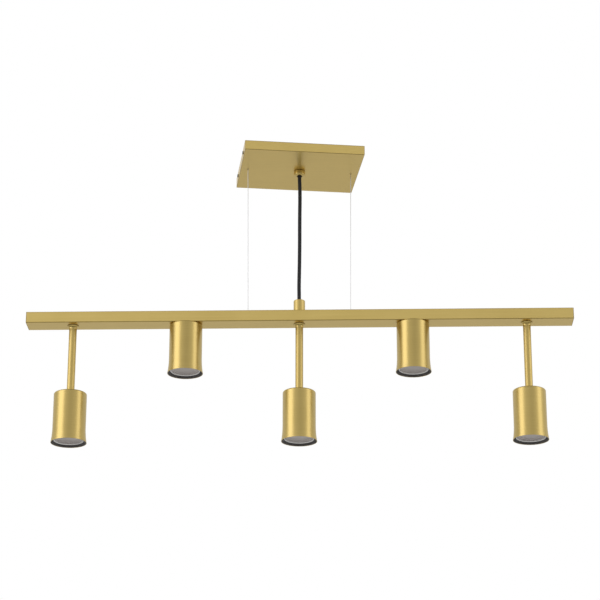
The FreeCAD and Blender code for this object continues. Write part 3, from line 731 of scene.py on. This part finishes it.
bezelLook = {
    "inner": 0.0253,
    "fit": 0.0001,
    "lip": 0.0006,
    "height": 0.008,
    "inset": 0.0003,
    "bead": 0.0005,
    "slopeTop": (1.2, 0.5),  # beads inwards, share of the height downwards
    "slopeLow": (2.4, 0.55),
}


def makeBezel(number, values, cup):
    x, y, low, high = axisOf("lamp_bezel_%d" % number)
    wall = cup["radius"] - cup["wall"]
    flare = flareRadius(cup["flareHeight"], cup["mouthRadius"] - cup["lip"] - wall)
    height = high - low
    step = values["bead"]

    def outer(depth):
        return wall + flare - math.sqrt(flare ** 2 - depth ** 2) - values["fit"]

    def slope(shares):
        return values["inner"] + shares[0] * step, -height * shares[1]

    outerLow = outer(cup["flareHeight"] - values["inset"])
    bezel = turned("lampBezel%d" % number, [
        (values["inner"], 0), (outer(cup["flareHeight"] - values["inset"] - height), 0, -flare),
        (outerLow, -height), (outerLow - values["lip"], -height),
        slope(values["slopeLow"]), slope(values["slopeTop"]), (values["inner"] + step, -step, -step),
    ], (x, y, high), "blackTrim", latheLook["fineSegments"])
    seated(bezel, "bar", "black_trim", "lamp_bezel_%d" % number)


lensLook = {
    "edge": 0.0004,
    "groove": 0.0009,
    "grooveDepth": 0.0003,
    "grooveInset": 0.0016,
    "dome": 0.0004,
    "domeStart": 0.25,  # share of the dome's rise at its border
}


def makeLens(number, values):
    x, y, low, high = axisOf("lamp_lens_%d" % number)
    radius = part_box("lamp_lens_%d" % number)[1].x - x
    height = high - low
    groove = radius - values["grooveInset"]
    lens = turned("lampLens%d" % number, [
        (0, 0), (radius, 0), (radius, values["edge"] - height, values["edge"]),
        (radius - values["edge"], -height), (groove, -height),
        (groove - values["groove"] / 2, values["grooveDepth"] - height),
        (groove - values["groove"], -height + values["dome"] * values["domeStart"]),
        (0, values["dome"] - height),
    ], (x, y, high), "lampLens", latheLook["fineSegments"])
    seated(lens, "lamp_%d" % number, "frosted_lens", "lamp_lens_%d" % number)


rimLook = {"inner": 0.0224, "outer": 0.0249, "round": 0.00126, "seat": 0.0002}


def makeRim(number, values):
    # the bright rim that holds the lens in the lamp's shell
    x, y, low, high = axisOf("lamp_body_%d" % number)
    rim = turned("lampRim%d" % number, [
        (values["inner"], values["seat"]), (values["outer"], values["seat"]),
        (values["outer"], 0, values["round"]), (values["inner"], 0),
    ], (x, y, low), "lampRim", latheLook["fineSegments"])
    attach(rim, "lamp_%d" % number)


for side in ("left", "centre", "right"):
    makeRod(side, rodLook, collarLook)
makeCanopyBush(canopyBushLook)
makeBarBush(barBushLook)
for number in lampNumbers:
    makeBezel(number, bezelLook, cupLook)
    makeLens(number, lensLook)
    makeRim(number, rimLook)
print("rods, bushes, bezels and lenses made")


# CAD pieces that keep their shape

def dress(finish, *names):
    for name in names:
        nodes[name].material_slots[0].material = finishes[finish]


dress("barBrass", "bar_tube", "left_end_cap", "right_end_cap")
dress("canopyBrass", "canopy_cover")
dress("zincSteel", "ceiling_bracket", "holder_straps")
dress("platedSteel", "canopy_bush_nut", "locknuts", "threaded_nipples", "holder_screws", "terminal_screws",
      "earth_screw", "wire_anchors")
dress("nickelBrass", "left_gripper_barrel", "right_gripper_barrel", "left_gripper_release",
      "right_gripper_release")
dress("wireSteel", "wire_ends")
dress("blackScrew", "canopy_side_screws")
dress("cordSheath", "cord_tail")
dress("whiteNylon", "terminal_block")
dress("steatite", *["lampholder_%d" % number for number in lampNumbers])
dress("lampShell", *["lamp_body_%d" % number for number in lampNumbers])
print("frame pieces dressed")


# Floor and light

stageLook = {
    "floorDrop": -4.4,
    "floorHalf": 7,
    "floorFade": (3.4, 6.6),  # how far out the floor starts to fade into the backdrop, and where it is gone
    "floorColour": (0.84, 0.835, 0.82, 1),
    "floorRoughness": 0.8,
    "front": 0.56,  # brightness of the room on the camera's side
    "leftGain": 1.18,  # how much brighter the room is a little to the left of the camera
    "leftSpan": (0.05, -0.25),
    "rightGain": 1.2,  # the same to the right of the camera, further out
    "rightSpan": (0.25, 0.6),
    "frontLevel": 1.4,  # how much brighter it is at eye level than above
    "levelSpan": (0.3, 0.0),
    "frontHigh": 1.15,  # how much brighter it is well above the camera's level
    "aboveSpan": (0.42, 0.6),
    "frontLow": 0.15,  # share of it that is left below the camera's level
    "lowSpan": (0.0, -0.25),
    "behind": 0.53,
    "behindHigh": 1.35,
    "highSpan": (-0.1, 0.2),
    "depthSpan": (-0.3, 0.7),  # from the camera's side to the far side
    "overhead": 0.5,  # share that is left straight above
    "overheadSpan": (0.75, 0.95),
    "backdrop": 1.0,
}
lightLook = {
    # name: place, aim, width, height, power, colour
    "leftStrip": ((-2.296, -1.221, 0.6), (0, 0, 0.2), 1.8, 2.8, 23, (1, 0.985, 1.06)),
    "rightStrip": ((2.473, -0.803, 0.6), (0, 0, 0.2), 1.3, 2.8, 12, (1, 0.985, 1.02)),
}


def makeStage(values):
    half = values["floorHalf"]
    drop = values["floorDrop"]
    mesh = bpy.data.meshes.new("floor")
    mesh.from_pydata([(-half, -half, drop), (half, -half, drop), (half, half, drop), (-half, half, drop)],
                     [], [(0, 1, 2, 3)])
    floor = bpy.data.objects.new("floor", mesh)
    material, graph, place = newFinish("floorPaint")
    away = graph.add("ShaderNodeVectorMath", {"operation": "LENGTH"},
                     {0: stretched(graph, place, (1, 1, 0))}, output=1)
    cover = eased(graph, away, values["floorFade"], 1.0, 0.0)
    finished(graph, {
        "Base Color": values["floorColour"], "Roughness": values["floorRoughness"], "Alpha": cover})
    mesh.materials.append(material)
    scene.collection.objects.link(floor)
    world = bpy.data.worlds.new("studio")
    world.use_nodes = True
    world.node_tree.nodes.clear()
    graph = Graph(world.node_tree)
    seen = graph.add("ShaderNodeLightPath", output="Is Camera Ray")
    way = graph.add("ShaderNodeTexCoord", output="Generated")
    across, depth, height = [partOf(graph, way, axis) for axis in range(3)]
    front = values["front"] * eased(graph, across, values["leftSpan"], 1.0, values["leftGain"])
    front = front * eased(graph, across, values["rightSpan"], 1.0, values["rightGain"])
    front = front * eased(graph, height, values["levelSpan"], 1.0, values["frontLevel"])
    front = front * eased(graph, height, values["aboveSpan"], 1.0, values["frontHigh"])
    front = front * eased(graph, height, values["lowSpan"], 1.0, values["frontLow"])
    behind = values["behind"] * eased(graph, height, values["highSpan"], 1.0, values["behindHigh"])
    level = eased(graph, depth, values["depthSpan"], front, behind)
    fade = eased(graph, height, values["overheadSpan"], 1.0, values["overhead"])
    room = level * fade
    strength = room + seen * (values["backdrop"] - room)
    sky = graph.add("ShaderNodeBackground", {}, {"Color": (1, 1, 1, 1), "Strength": strength})
    graph.add("ShaderNodeOutputWorld", {}, {"Surface": sky})
    scene.world = world
    scene.view_settings.view_transform = "Standard"


def makeLights(lights):
    for name, (place, aim, width, height, power, colour) in lights.items():
        data = bpy.data.lights.new(name, "AREA")
        data.shape = "RECTANGLE"
        data.size = width
        data.size_y = height
        data.energy = power
        data.color = colour
        light = bpy.data.objects.new(name, data)
        light.location = place
        light.rotation_euler = (Vector(aim) - Vector(place)).to_track_quat("-Z", "Y").to_euler()
        light.visible_camera = False
        scene.collection.objects.link(light)


makeStage(stageLook)
makeLights(lightLook)
print("stage lit")
